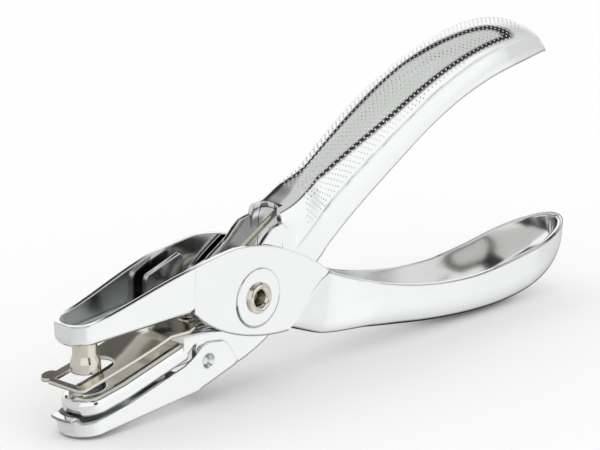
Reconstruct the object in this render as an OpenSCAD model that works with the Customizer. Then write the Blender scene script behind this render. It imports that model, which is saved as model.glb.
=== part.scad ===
// Single hole punch of the plier type: two pressed steel levers that cross on one rivet,
// with a punch, a stripper leaf, a chip tray and a return spring.
// The nose points to -X and the handles to +X. The levers turn about the rivet, whose axis runs
// along Y, and the part stands on the tray's nose and on the belly of the lower handle, at z = 0.
// Outlines are drawn round the rivet's axis as [x, z] and moved up to their place at the end.

/* [Sheet metal] */
// Thickness of the sheet of both levers
sheet = 1.1; // [0.9:0.05:1.3]
// Thickness of the chip tray's sheet
tray_sheet = 0.5; // [0.4:0.05:0.7]
// Thickness of the stripper leaf
leaf = 0.7; // [0.5:0.05:0.9]
// Outer radius of the bends along both jaws
bend_r = 1.7; // [1.5:0.1:2]
// Play between sheets that lie side by side
slack = 0.1; // [0.05:0.05:0.2]

/* [Rivet] */
// Height of the rivet's axis above the surface
pivot_h = 18.85; // [17.8:0.05:20]
// Slope between the surface and the frame that the levers are drawn in
stance = 0.9; // [0.6:0.1:1.2]
// Diameter of the rivet's shank
rivet_d = 4.8; // [4.4:0.1:5.2]
// Radial play of the die lever on the rivet
rivet_play = 0.06; // [0.03:0.01:0.1]
// Diameter of the rolled rim on the near side
rim_d = 6.2; // [5.8:0.1:7]
// Diameter of the head on the far side
head_d = 8; // [7:0.1:9]
// Diameter of the flat boss round the rivet
boss_d = 11.6; // [10.5:0.1:13]
// Height of that boss
boss_h = 0.25; // [0.15:0.05:0.5]

/* [Squeeze] */
// Angle that the handles turn through
squeeze = 7.2; // [6.6:0.1:7.6]
// Distance from the rivet to the punch
reach = 39.2; // [38:0.1:40.5]
// Length of the punch below the upper jaw
punch_len = 6.1; // [5.8:0.1:6.5]
// Depth that the punch enters the die
bite = 1.2; // [0.8:0.1:1.6]

/* [Punch] */
// Diameter of the hole that it cuts
punch_d = 5.8; // [5.4:0.1:6]
// Diameter of the neck above the cutting end
neck_d = 4.8; // [4.4:0.1:5]
// Radial room round the punch in the die
die_room = 0.22; // [0.18:0.01:0.3]
// Diameter of the tenon that holds the punch in the jaw
tenon_d = 3.8; // [3.2:0.1:4.4]

/* [Punch lever] */
// Outer width across the ears
ear_w = 13.4; // [13:0.1:14.4]
// Slope of the upper jaw's floor while open
jaw_slope = 4.2; // [3.6:0.1:4.8]
// Depth of that floor below the rivet at the punch
jaw_drop = 1.55; // [1.2:0.05:1.8]
// Half width of the nose
nose_half = 4.8; // [4.6:0.1:5.4]
// Distance of the nose's centre before the punch
nose_ahead = 0.9; // [0.6:0.1:1.2]
// Height of the rim at the nose above the rivet
nose_rim = 2.5; // [2.2:0.1:3]
// Height of the ears above the rivet
ear_rise = 10.9; // [10.4:0.1:12]
// Depth of the ears below the rivet
ear_drop = 8.5; // [8.2:0.1:9]
// Distance from the rivet to the throat
throat = 17; // [16.4:0.1:17.6]
// Half width of the floor's tongue with its upturned sides
tongue_half = 4.2; // [3.9:0.1:4.5]
// Height of those sides above the rivet at their rear end
tongue_rise = 9; // [8.4:0.1:9.4]

/* [Lower handle] */
// Distance from the rivet to the lower handle's tip
lower_len = 97.5; // [90:0.5:105]
// Distance from the rivet to its lowest point
belly_x = 69; // [62:0.5:74]
// Depth of its rim below the rivet at its lowest
lower_rim = 7.9; // [7.2:0.1:9]
// Depth of its rim below the rivet at the tip
lower_tip = 1.3; // [0.5:0.1:3]

/* [Upper handle] */
// Distance from the rivet to the upper handle's tip
upper_len = 89.2; // [85:0.1:94]
// Distance from the rivet to its highest point
peak_x = 71; // [66:0.5:75]
// Height of that point above the rivet
peak_z = 43.1; // [41:0.1:46]
// Height of the crown above the rivet at the end of the slot
front_z = 13.6; // [13:0.1:14.2]
// Half width of the slot that shows the spring
slot_half = 3.7; // [3:0.1:3.75]
// Height of the raised grip on the crown
grip_h = 0.5; // [0.3:0.05:0.8]
// Half width of both handles at their widest
handle_half = 7.7; // [7.2:0.1:8.4]

/* [Die lever] */
// Room between the levers' sides
side_room = 0.7; // [0.6:0.05:0.9]
// Distance from the die to the bend behind it
pad_len = 4.6; // [4:0.1:5.2]
// Slope of the die plate behind that bend while open
plate_slope = 15.9; // [15:0.1:16.6]
// Height of the lower jaw's sides
wall_h = 3.3; // [2.8:0.1:3.6]
// Depth of the web behind the paper stop below the rivet
web_drop = 4; // [3.7:0.1:4.3]

/* [Stripper] */
// Width of the stripper leaf
leaf_w = 10.8; // [10.2:0.1:11.4]
// Gap for paper between leaf and die at the front
paper_gap = 2.7; // [2.2:0.1:3]
// Width of the window that the punch passes
window_w = 6.8; // [6.6:0.1:7.2]
// Outer diameter of the small hollow rivet's shank
eyelet_d = 2.8; // [2.4:0.1:3.2]
// Diameter of its rims
eyelet_rim = 3.8; // [3.4:0.1:4.4]

/* [Chip tray] */
// Slope of the tray's floor while the punch is open
tray_slope = 6.4; // [5.8:0.1:7]
// Gap between the tray's rim and the lower jaw's sides
rim_gap = 0.8; // [0.6:0.1:1.2]
// Distance of the tray's hinge before the rivet
hinge_x = 12; // [11.8:0.1:12.4]
// Depth of the tray's hinge below the rivet
hinge_z = 10.5; // [10.2:0.1:10.8]
// Diameter of the dimples that the tray turns on
dimple_d = 3.2; // [2.8:0.1:3.6]

/* [Spring] */
// Diameter of the spring's wire
wire_d = 1.25; // [1:0.05:1.3]
// Radius of the coil to the wire's centre
coil_r = 4.1; // [3.8:0.1:4.4]
// Pitch of the coil
coil_pitch = 1.8; // [1.75:0.05:1.9]
// Gap between the spring's ends and the handles
rest_gap = 0.25; // [0.1:0.05:0.4]

/* [Hidden] */
$fn = 64;

ear_half = ear_w / 2;
die_half = ear_half - sheet - side_room;
tray_half = die_half + slack + tray_sheet;
closed_gap = punch_len - bite;
die_nose = -0.9;
web_z = -web_drop;
riser_x = -throat - 1;
seat = 0.02;
past = 1;
big = 2 * lower_len;
full_turn = 360;
ring = 32;

function smooth(t) = let (u = min(max(t, 0), 1)) u * u * (3 - 2 * u);
function turn(p, a) = [p.x * cos(a) - p.y * sin(a), p.x * sin(a) + p.y * cos(a)];
function bez(p, t) = pow(1 - t, 3) * p[0] + 3 * t * pow(1 - t, 2) * p[1]
                   + 3 * t * t * (1 - t) * p[2] + pow(t, 3) * p[3];
function curve(p, n = 8) = [for (i = [0:n]) bez(p, i / n)];
function back(p) = [for (i = [len(p) - 1:-1:0]) p[i]];
function lever(end, far, x) = max(0, (end - x) / (end - far));

// Places of the jaws: a point of the upper jaw, and of the die pad that it closes on
function jaw_pt(x, z) = turn([x, z], jaw_slope) + [-reach, -jaw_drop];
function pad_pt(x, z) = turn(jaw_pt(x, z - closed_gap), squeeze);
function plate_pt(x, z) = turn([x, z], plate_slope) + pad_pt(pad_len, 0);
pad_slope = jaw_slope + squeeze;
plate_len = (riser_x - plate_pt(0, 0).x) / cos(plate_slope);

module in_jaw() {
    translate([-reach, 0, -jaw_drop]) rotate([0, -jaw_slope, 0]) children();
}

module in_pad() {
    rotate([0, -squeeze, 0]) in_jaw() translate([0, 0, -closed_gap]) children();
}

// A flat sheet with an [x, z] outline, from y to y + t
module upright(y, t) {
    translate([0, y + t, 0]) rotate([90, 0, 0]) linear_extrude(t) children();
}

// The same sheet on both sides of the middle, with its outer face at half
module both_sides(half, t) {
    upright(-half, t) children();
    upright(half - t, t) children();
}

// Outline of a channel: flat floor at 0, rounded lower corners, open top
module channel_blank(half, h, r) {
    translate([-half, r]) square([2 * half, h - r]);
    translate([r - half, 0]) square([2 * (half - r), h]);
    for (side = [-1, 1]) translate([side * (half - r), r]) circle(r);
}

module channel_section(half, h, r, t) {
    difference() {
        channel_blank(half, h, r);
        translate([0, t]) channel_blank(half - t, h, r - t);
    }
}

// A channel along +X from x = 0, floor underneath
module channel(length, half, h, r, t) {
    rotate([90, 0, 90]) linear_extrude(length) channel_section(half, h, r, t);
}

// The half round end of such a channel, pointing to -X
module channel_nose(half, h, r, t) {
    rotate([0, 0, 90]) rotate_extrude(angle = 180) intersection() {
        channel_section(half, h, r, t);
        square([half, h]);
    }
}

// Lofted handles. A handle is a list of cross sections along X, each an arch from the near edge
// over the crown to the far edge. A crown below the edge makes a trough.
function arch(x, half, edge, crown, n, swell = 0) =
    [for (k = [0:ring])
        let (a = 180 * k / ring,
             rise = pow(max(sin(a), 0), 2 / n),
             out = swell * smooth((rise - 0.5) / 0.16))
        [x, -(half + out) * sign(cos(a)) * pow(abs(cos(a)), 2 / n),
         edge + (crown - edge) * rise + out * rise]];

// Triangles of a sheet between an outer and an inner list of sections
function loft_faces(n) =
    let (m = ring + 1, inner = n * m, last = (n - 1) * m)
    concat(
        [for (i = [0:n - 2], k = [0:ring - 1], f = [0, 1])
            let (a = i * m + k)
            f == 0 ? [a, a + 1, a + m] : [a + 1, a + m + 1, a + m]],
        [for (i = [0:n - 2], k = [0:ring - 1], f = [0, 1])
            let (a = inner + i * m + k)
            f == 0 ? [a, a + m, a + 1] : [a + 1, a + m, a + m + 1]],
        [for (i = [0:n - 2], f = [0, 1])
            let (a = i * m)
            f == 0 ? [a, a + m, inner + a] : [a + m, inner + a + m, inner + a]],
        [for (i = [0:n - 2], f = [0, 1])
            let (a = i * m + ring)
            f == 0 ? [a, inner + a, a + m] : [a + m, inner + a, inner + a + m]],
        [for (k = [0:ring - 1], f = [0, 1])
            f == 0 ? [k, inner + k, k + 1] : [k + 1, inner + k, inner + k + 1]],
        [for (k = [0:ring - 1]) if (k > 0) [last, last + k, last + k + 1]],
        [for (k = [0:ring - 1]) if (k > 0) [inner + last, inner + last + k + 1, inner + last + k]],
        [[last, last + ring, inner + last], [last + ring, inner + last + ring, inner + last]]);

module loft(outer, inner, trough) {
    faces = loft_faces(len(outer));
    polyhedron(
        points = concat([for (s = outer) each s], [for (s = inner) each s]),
        faces = trough ? [for (f = faces) [f[0], f[2], f[1]]] : faces);
}

// Stations along a handle: even steps, then closer ones round its tip
tip_angle = 85;
function stations(from, round_x, tip, n = 16, m = 10) = concat(
    [for (i = [0:n]) from + (round_x - from) * i / n],
    [for (j = [1:m]) round_x + (tip - round_x) * sin(tip_angle * j / m)]);
function tip_half(x, round_x, tip) = sqrt(1 - pow(max(0, (x - round_x) / (tip - round_x)), 2));

// Lower handle: an open trough that grows out of the punch lever's ears
proud = 0.08;
crease_top = [20, 1.4];
crease_foot = [9, -ear_drop];
lower_from = 11;
lower_round = lower_len - 15.5;
lower_dip = 63;
belly_from = -ear_drop - 0.25;
belly_h = (pivot_h - belly_x * sin(stance)) / cos(stance);
function crease(x) = crease_foot.y
    + (x - crease_foot.x) * (crease_top.y - crease_foot.y) / (crease_top.x - crease_foot.x);
function lower_edge(x) = x < crease_top.x ? crease(x)
    : x < lower_dip ? (crease_top.y + lower_rim) * pow(lever(lower_dip, crease_top.x, x), 2) - lower_rim
    : (lower_rim - lower_tip) * pow(lever(lower_dip, lower_len, x), 1.6) - lower_rim;
function lower_floor(x) = x < belly_x
    ? (belly_h + belly_from) * pow(lever(belly_x, lower_from, x), 1.75) - belly_h
    : -lower_tip - 1 - (belly_h - lower_tip - 1)
      * pow(1 - pow((x - belly_x) / (lower_len - belly_x), 2.3), 1 / 2.3);
function lower_half(x) = (ear_half + proud + (handle_half - ear_half - proud)
    * smooth((x - lower_from) / 52)) * tip_half(x, lower_round, lower_len);
function lower_box(x) = 6 - 3.2 * smooth((x - lower_from) / 36);

module lower_handle() {
    outer = [for (x = stations(lower_from, lower_round, lower_len))
        arch(x, lower_half(x), lower_edge(x), lower_floor(x), lower_box(x))];
    inner = [for (x = stations(lower_from, lower_round - sheet / 2, lower_len - sheet))
        arch(x, lower_half(x + sheet / 2) - sheet, lower_edge(x), lower_floor(x) + sheet, lower_box(x))];
    loft(outer, inner, true);
}

// Punch lever: upper jaw, ears and lower handle in one pressing
nose_x = -reach - nose_ahead - nose_half;
ear_peak = -throat + 11;
lap = 1.5;
jaw_top = [[nose_x, nose_rim], [nose_x + 10.5, nose_rim + 0.4],
           [-throat - 7, ear_rise - 1.75], [ear_peak, ear_rise]];
ear_top = [[ear_peak, ear_rise], [0, ear_rise], [10, ear_rise - 1.9], crease_top];
ear_low = [[-throat, jaw_floor(-throat)], [-throat + 5.5, 0.6 - 0.68 * ear_drop],
           [-2, -ear_drop - 0.1], crease_foot];
function jaw_floor(x) = (x + reach) * tan(jaw_slope) - jaw_drop;

module lever_outline() {
    polygon(concat(
        curve(jaw_top, 12), curve(ear_top, 10),
        [crease_top + lap * [0.67, -0.74], crease_foot + [1.4 * lap, 0]],
        back(curve(ear_low, 10)),
        [[-throat, -bend_r - jaw_drop], [nose_x - past, -bend_r - jaw_drop]]));
}

module ahead(x) {
    translate([x - big, -big / 2]) square(big);
}

// The jaw's sides run in from the ears and meet the round nose at this angle
jaw_len = (reach - throat) / cos(jaw_slope) + nose_ahead;
splay = acos(nose_half / norm([ear_half, jaw_len])) - atan2(jaw_len, ear_half);

// The near half of the upper jaw: its side, its share of the nose and of the floor
module jaw_half() {
    tall = ear_rise + jaw_drop + bend_r;
    floor_w = jaw_len * tan(splay) + past / 2;
    intersection() {
        in_jaw() intersection() {
            translate([-nose_ahead, 0, 0]) rotate([0, 0, -splay]) {
                rotate([0, 0, -90]) rotate_extrude(angle = -90) intersection() {
                    channel_section(nose_half, tall, bend_r, sheet);
                    square([nose_half, tall]);
                }
                rotate([90, 0, 90]) linear_extrude(jaw_len + 2 * past) intersection() {
                    channel_section(nose_half, tall, bend_r, sheet);
                    translate([-nose_half, 0]) square([nose_half + floor_w, tall]);
                }
            }
            translate([0, -big / 2, 0]) cube(big, center = true);
        }
        upright(-ear_half - past, ear_w + 2 * past) intersection() {
            lever_outline();
            ahead(-throat);
        }
    }
}

module upper_jaw() {
    jaw_half();
    mirror([0, 1, 0]) jaw_half();
}

// The floor runs on behind the throat as a tongue with upturned sides
tongue_from = throat + 3.4;
tongue_end = 9.6;
tongue_bend = 1.6;
module tongue() {
    foot = jaw_floor(-tongue_from) - past;
    front = tongue_rise - 2.7;
    intersection() {
        in_jaw() channel(reach, tongue_half, 2 * tongue_rise, tongue_bend, sheet);
        upright(-ear_half, ear_w) polygon([
            [-tongue_from, foot], [-tongue_from, front - 0.9], [0.6 - tongue_from, front],
            [-tongue_end - 1.9, tongue_rise], [-tongue_end - 1.2, tongue_rise - 0.5], [-tongue_end, foot]]);
    }
}

module across(d, half) {
    rotate([90, 0, 0]) cylinder(d = d, h = 2 * half, center = true);
}

module punch_lever() {
    color("silver") difference() {
        union() {
            upper_jaw();
            tongue();
            both_sides(ear_half, sheet) difference() {
                lever_outline();
                ahead(-throat);
            }
            lower_handle();
            for (side = [-1, 1])
                translate([0, side * (ear_half + boss_h / 2 - sheet / 4), 0])
                    across(boss_d, boss_h / 2 + sheet / 4);
        }
        across(rivet_d + 2 * seat, ear_w);
        in_jaw() cylinder(d = tenon_d + 2 * seat, h = 4 * sheet, center = true);
    }
}

// Upper handle: an arch whose crown carries the raised grip
upper_from = 8.4;
slot_end = 10.2;
front_x = 10;
upper_round = upper_len - 19;
edge_from = -5;
edge_x = upper_len - 6.5;
edge_z = peak_z - 7.9;
tip_drop = 8.2;
front_lift = 2;
front_lift_to = 18;
grip_from = 13;
function upper_crown(x) = x < peak_x
    ? peak_z - (peak_z - front_z) * pow(lever(peak_x, front_x, x), 1.6)
      + front_lift * pow(lever(front_lift_to, front_x, x), 2)
    : peak_z - tip_drop * pow(lever(peak_x, upper_len, x), 2.5);
function upper_edge(x) = x < edge_x
    ? edge_z - (edge_z - edge_from) * pow(lever(edge_x, front_x, x), 2)
    : edge_z - 1.4 * pow(lever(edge_x, upper_len, x), 2);
function upper_half(x) = (die_half + proud + (handle_half - die_half - proud)
    * smooth((x - 12) / 30)) * tip_half(x, upper_round, upper_len);
function upper_box(x) = 8 - 5.7 * smooth((x - 8) / 13);
function grip(x) = grip_h * smooth((x - grip_from) / 4);

module upper_handle() {
    outer = [for (x = stations(upper_from, upper_round, upper_len, 20))
        arch(x, upper_half(x), upper_edge(x), upper_crown(x), upper_box(x), grip(x))];
    inner = [for (x = stations(upper_from, upper_round - sheet / 2, upper_len - sheet, 20))
        arch(x, upper_half(x + sheet / 2) - sheet, upper_edge(x), upper_crown(x) - sheet, upper_box(x))];
    loft(outer, inner, false);
}

// Side walls of the die lever, from the paper stop past the rivet to the upper handle
web_end = -8;
leg_x = -14.8;
notch_z = -6.4;
lip = 0.5;
wall_top = upper_crown(upper_from) - 2.4;
wall_foot = upper_edge(upper_from);
wall_front = [[web_end, web_z - bend_r], [-7.6, 2], [-5, 4.6], [-2, 6.6]];
wall_slope = [[2.4, 9.3], [4, 10.9], [5.6, 12.2], [upper_from, wall_top]];
wall_low = [[leg_x, -hinge_z - 3.4], [-6, -hinge_z - 4.6], [upper_from - 3.8, wall_foot - 3.4],
            [upper_from, wall_foot]];

module die_wall_outline() {
    stop_foot = plate_pt(plate_len, -wall_h);
    polygon(concat(
        [[riser_x, stop_foot.y], [leg_x, notch_z]],
        curve(wall_low, 8),
        [[upper_from + lap, upper_edge(upper_from + lap) + lip], [upper_from + lap, wall_top - 1.4]],
        back(wall_slope), back(curve(wall_front, 8)),
        [[web_end, web_z - bend_r - lip], [riser_x, web_z - bend_r - lip]]));
}

// The fold between die pad and die plate, and one of the two channels that meet there in a mitre
fold = (plate_slope - pad_slope) / 2;
module in_fold() {
    translate([plate_pt(0, 0).x, 0, plate_pt(0, 0).y]) rotate([0, fold - plate_slope, 0]) children();
}

module fold_side(way) {
    intersection() {
        rotate([0, -way * fold, 0]) mirror([0, 0, 1]) children();
        translate([way * big / 2, 0, 0]) cube(big, center = true);
    }
}

module lower_jaw() {
    pad_front = die_nose - pad_len;
    intersection() {
        in_fold() {
            fold_side(-1) translate([pad_front, 0, 0]) {
                channel_nose(die_half, wall_h, bend_r, sheet);
                channel(past - pad_front, die_half, wall_h, bend_r, sheet);
            }
            fold_side(1) translate([-past, 0, 0])
                channel(plate_len + 4 * past, die_half, wall_h, bend_r, sheet);
        }
        translate([riser_x + sheet - big / 2, 0, -big / 2]) cube(big, center = true);
    }
}

// The web steps up behind the die plate and stops the paper there
module paper_stop() {
    foot = plate_pt(plate_len, 0).y - sheet;
    translate([riser_x, 0, web_z]) mirror([0, 0, 1]) {
        channel(web_end - riser_x, die_half, bend_r + 2 * lip, bend_r, sheet);
        rotate([90, 0, 90]) linear_extrude(sheet) channel_blank(die_half, web_z - foot, bend_r);
    }
}

// Slot in the crown between the side walls, with a round end
module spring_slot() {
    translate([upper_from - past, -slot_half])
        square([slot_end - slot_half - upper_from + past, 2 * slot_half]);
    translate([slot_end - slot_half, 0]) circle(slot_half);
}

stud_x = -12.4;
module die_lever() {
    color("gainsboro") difference() {
        union() {
            lower_jaw();
            paper_stop();
            both_sides(die_half, sheet) die_wall_outline();
            upper_handle();
        }
        across(rivet_d + 2 * rivet_play, ear_w);
        linear_extrude(peak_z) spring_slot();
        in_pad() cylinder(d = punch_d + 2 * die_room, h = 4 * sheet, center = true);
        translate([-hinge_x, 0, -hinge_z]) across(dimple_d + 2 * rivet_play, ear_w);
        translate([stud_x, 0, web_z]) cylinder(d = eyelet_d + 2 * seat, h = 4 * sheet, center = true);
    }
}

// Punch: flared cutting end, waisted neck, tenon closed over inside the jaw
head_h = 0.9;
module punch_pin() {
    cut_r = punch_d / 2;
    neck_r = neck_d / 2;
    land = 1.5;
    flare = 2.2;
    head_r = tenon_d / 2 + 0.6;
    waist = curve([[cut_r, land], [cut_r, land + flare / 2], [neck_r, land + flare / 2],
                   [neck_r, land + flare]], 6);
    color("wheat") in_jaw() translate([0, 0, -punch_len]) rotate_extrude() polygon(concat(
        [[0, 0], [cut_r, 0]], waist,
        [[neck_r, punch_len], [tenon_d / 2, punch_len], [tenon_d / 2, punch_len + sheet],
         [head_r, punch_len + sheet], [head_r - 0.3, punch_len + sheet + head_h * 0.6],
         [head_r - 0.9, punch_len + sheet + head_h], [0, punch_len + sheet + head_h]]));
}

// Stripper: a thin bent leaf over the die with a window for the punch
leaf_half = leaf_w / 2;
leaf_front = pad_pt(die_nose - die_half, 0).x - 1.3;
leaf_front_z = pad_pt(0, 0).y - (pad_pt(0, 0).x - leaf_front) * tan(pad_slope) + paper_gap + leaf;
leaf_crease = riser_x - 4;
tail_r = eyelet_rim / 2 + 1;
window_c = -reach + 3;
cross_bar = 1.2;

module leaf_side() {
    top = curve([[leaf_front, leaf_front_z], [leaf_front + 8, leaf_front_z + 8 * tan(14)],
                 [leaf_crease - 7, web_z + leaf - 7 * tan(19)], [leaf_crease, web_z + leaf]], 8);
    rear = stud_x + tail_r + past;
    polygon(concat(top, [[rear, web_z + leaf], [rear, web_z], [leaf_crease + leaf * tan(9), web_z]],
        [for (p = back(top)) if (p.x < leaf_crease) p - [0, leaf]]));
}

module leaf_plan() {
    corner = 1.2;
    tab_r = 1.6;
    taper = riser_x + 1;
    difference() {
        union() {
            polygon([[leaf_front, corner - leaf_half], [leaf_front + corner, -leaf_half],
                     [taper, -leaf_half], [stud_x + 0.5, 0.1 - tail_r],
                     [stud_x + 0.5, tail_r - 0.1], [taper, leaf_half],
                     [leaf_front + tab_r, leaf_half], [leaf_front, leaf_half - tab_r]]);
            translate([leaf_front + corner, corner - leaf_half]) circle(corner);
            translate([stud_x, 0]) circle(tail_r);
            translate([leaf_front + tab_r + 0.1, leaf_half]) circle(tab_r);
        }
        translate([leaf_front + cross_bar, -window_w / 2])
            square([window_c - leaf_front - cross_bar, window_w]);
        translate([window_c, 0]) circle(d = window_w);
        translate([stud_x, 0]) circle(d = eyelet_d + 2 * seat);
    }
}

module stripper() {
    color("wheat") intersection() {
        upright(-ear_w, 2 * ear_w) leaf_side();
        linear_extrude(big, center = true) leaf_plan();
    }
}

// Hollow rivet that clamps the leaf's tail on the web
module stripper_rivet() {
    bore_r = eyelet_d / 2 - 0.45;
    rim_h = 0.35;
    grip_z = leaf + sheet;
    color("wheat") translate([stud_x, 0, web_z - sheet]) rotate_extrude() polygon([
        [bore_r, -rim_h], [eyelet_rim / 2, -rim_h], [eyelet_rim / 2, 0], [eyelet_d / 2, 0],
        [eyelet_d / 2, grip_z], [eyelet_rim / 2, grip_z], [eyelet_rim / 2 - 0.15, grip_z + rim_h],
        [bore_r + 0.15, grip_z + rim_h], [bore_r, grip_z]]);
}

// Chip tray: a shallow pan under the lower jaw that snaps on by its two ears
tray_bend = 1;
tray_x = pad_pt(die_nose, -wall_h).x - 0.5;
tray_toe = tray_x - (tray_half - tray_bend) * cos(tray_slope) - tray_bend * sin(tray_slope);
tray_z = (tray_bend - pivot_h + tray_toe * sin(stance)) / cos(stance)
    + (tray_half - tray_bend) * sin(tray_slope) - tray_bend * cos(tray_slope);
tray_end = -hinge_x - dimple_d / 2 - 0.3;
tab_top = 4.2;
tab_lip = 1.3;
tab_half = 2.6;
function tray_floor(x) = tray_z + (x - tray_x) * tan(tray_slope);

module in_tray() {
    translate([tray_x, 0, tray_z]) rotate([0, -tray_slope, 0]) children();
}

// Side view of the tray: its rim follows the lower jaw and rises to the ears
module tray_outline() {
    drop = wall_h + rim_gap;
    rim_front = pad_pt(die_nose - die_half - 2, -drop);
    rim_bend = pad_pt(pad_len, -drop);
    rim_rear = plate_pt(plate_len - 1.2, -drop);
    polygon([
        rim_front, rim_bend, rim_rear,
        [-hinge_x - 3.6, -hinge_z + 1.6], [-hinge_x - 1.7, -hinge_z + 3.2],
        [-hinge_x + 0.5, -hinge_z + 3.7], [-hinge_x + 4.3, -hinge_z + 3.2],
        [-hinge_x + 5.1, -hinge_z + 2.7], [-hinge_x + 8, -hinge_z - 1.4],
        [-hinge_x + 7.4, -hinge_z - 2.2],
        [tray_end, tray_floor(tray_end) + 0.6 * tray_bend], [tray_end, tray_floor(tray_end) - past],
        [rim_front.x, tray_floor(rim_front.x) - past]]);
}

// Front view of the tray's tall front tab, from the floor up
module tab_outline() {
    wide = 4.2;
    low = 2.2;
    polygon([[-wide, -past], [wide, -past], [wide, low], [tab_half, tab_top - tray_sheet / 2],
             [-tab_half, tab_top - tray_sheet / 2], [-wide, low]]);
}

module tray_pan() {
    tall = 12;
    intersection() {
        in_tray() {
            channel_nose(tray_half, tall, tray_bend, tray_sheet);
            channel(tray_end - tray_x + 3 * past, tray_half, tall, tray_bend, tray_sheet);
        }
        union() {
            upright(-tray_half - past, 2 * (tray_half + past)) intersection() {
                tray_outline();
                ahead(tray_end);
            }
            in_tray() translate([-2 * tray_half, 0, 0]) rotate([90, 0, 90])
                linear_extrude(1.5 * tray_half) tab_outline();
        }
    }
    both_sides(tray_half, tray_sheet) difference() {
        tray_outline();
        ahead(tray_end);
    }
}

// Lip turned out from the tab's top edge for a fingernail
module tray_lip() {
    in_tray() intersection() {
        translate([0, 0, tab_top - tray_sheet]) difference() {
            cylinder(r = tray_half + tab_lip, h = tray_sheet);
            translate([0, 0, -past]) cylinder(r = tray_half - tray_sheet / 2, h = tray_sheet + 2 * past);
        }
        translate([-2 * tray_half, -tab_half, 0]) cube([2 * tray_half, 2 * tab_half, 2 * tab_top]);
    }
}

// Low wall that closes the pan between the lever's two legs
module tray_back() {
    half = die_half - sheet - 2 * slack;
    high = 2.4;
    at = tray_end - 2 * tray_sheet;
    translate([at, -half, tray_floor(at) + tray_sheet / 2]) cube([tray_sheet, 2 * half, high]);
}

module chip_tray() {
    deep = 0.9;
    color("gainsboro") difference() {
        union() {
            tray_pan();
            tray_lip();
            tray_back();
            for (side = [-1, 1])
                translate([-hinge_x, side * (tray_half - tray_sheet / 2 - deep / 2), -hinge_z])
                    across(dimple_d, tray_sheet / 2 + deep / 2);
        }
        for (side = [-1, 1])
            translate([-hinge_x, side * tray_half, -hinge_z]) rotate([side * 90, 0, 0])
                cylinder(r1 = dimple_d / 2 - 0.15, r2 = dimple_d / 4, h = deep);
    }
}

// Semi-tubular rivet: rolled rim and blind hole on the near side, plain head on the far side
module pivot_rivet() {
    face = ear_half + boss_h;
    bore_r = 1.55;
    bore_deep = 3;
    rim_h = 0.9;
    far_h = 1.3;
    color("wheat") rotate([90, 0, 0]) rotate_extrude() polygon(concat(
        [[0, -face - far_h], [head_d / 2 - 1.4, -face - far_h], [head_d / 2 - 0.4, -face - 0.75 * far_h],
         [head_d / 2, -face - 0.3 * far_h], [head_d / 2, -face], [rivet_d / 2, -face],
         [rivet_d / 2, face], [rim_d / 2, face], [rim_d / 2, face + 0.45 * rim_h],
         [rim_d / 2 - 0.35, face + 0.85 * rim_h], [rim_d / 2 - 0.75, face + rim_h],
         [bore_r + 0.4, face + 0.8 * rim_h], [bore_r, face + 0.3 * rim_h],
         [bore_r, face + rim_h - bore_deep], [0, face + rim_h - bore_deep - 1]]));
}

// Return spring: a coil round the rivet, with one leg up under each handle's sheet
leg_up_x = 18;
leg_low_x = 27;
wire_r = wire_d / 2;
function leg_angle(p, way) = atan2(p.y, p.x) + way * acos(coil_r / norm(p));
leg_up = [leg_up_x, upper_crown(leg_up_x) - sheet - 1.5 * wire_r - rest_gap];
leg_low = [leg_low_x, lower_floor(leg_low_x) + sheet + 1.2 * wire_r + rest_gap];
coil_from = leg_angle(leg_up, 1);
coil_to = leg_angle(leg_low, -1) + 3 * full_turn;
coil_steps = round((coil_to - coil_from) / 45);
coil_half = coil_pitch * (coil_to - coil_from) / full_turn / 2;
leg_steps = 4;
coil_pts = [for (i = [0:coil_steps])
    let (t = i / coil_steps, a = coil_from + (coil_to - coil_from) * t)
    [coil_r * cos(a), coil_half * (1 - 2 * t), coil_r * sin(a)]];
up_end = [leg_up.x, 0, leg_up.y];
low_end = [leg_low.x, 0, leg_low.y];
wire_path = concat(
    [for (i = [0:leg_steps - 1]) up_end + (coil_pts[0] - up_end) * i / leg_steps],
    coil_pts,
    [for (i = [1:leg_steps]) coil_pts[coil_steps] + (low_end - coil_pts[coil_steps]) * i / leg_steps]);

function unit(v) = v / norm(v);
function heading(p, i) = unit(p[min(i + 1, len(p) - 1)] - p[max(i - 1, 0)]);
wire_sides = 6;
function wire_ring(p, i) =
    let (h = heading(p, i), u = unit(cross(h, [0, 1, 0])), v = cross(h, u))
    [for (k = [0:wire_sides - 1])
        p[i] + wire_r * (cos(full_turn * k / wire_sides) * u
                        + sin(full_turn * k / wire_sides) * v)];

// Least gap between stretches of the wire that are over half a turn apart
self_gap = min([for (i = [0:len(wire_path) - 1], j = [0:len(wire_path) - 1])
    if (j > i + 4) norm(wire_path[i] - wire_path[j])]) - wire_d;
echo(spring_self_gap = self_gap);

module return_spring() {
    n = len(wire_path);
    s = wire_sides;
    color("wheat") polyhedron(
        points = [for (i = [0:n - 1]) each wire_ring(wire_path, i)],
        faces = concat(
            [for (i = [0:n - 2], k = [0:s - 1], f = [0, 1])
                let (a = i * s + k, b = i * s + (k + 1) % s)
                f == 0 ? [a, b, a + s] : [b, b + s, a + s]],
            [for (k = [1:s - 2]) [0, k + 1, k]],
            [for (k = [1:s - 2]) [(n - 1) * s, (n - 1) * s + k, (n - 1) * s + k + 1]]));
}

// The rivet's place: the part is centred on its length and stands at z = 0
front_tip = tray_x - (tray_half + tab_lip) * cos(tray_slope) - tab_top * sin(tray_slope);
pivot_x = -(front_tip + lower_len) / 2;
module place() {
    translate([pivot_x, 0, pivot_h]) rotate([0, stance, 0]) children();
}

place() punch_lever();
place() die_lever();
place() punch_pin();
place() stripper();
place() stripper_rivet();
place() chip_tray();
place() pivot_rivet();
place() return_spring();
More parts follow.
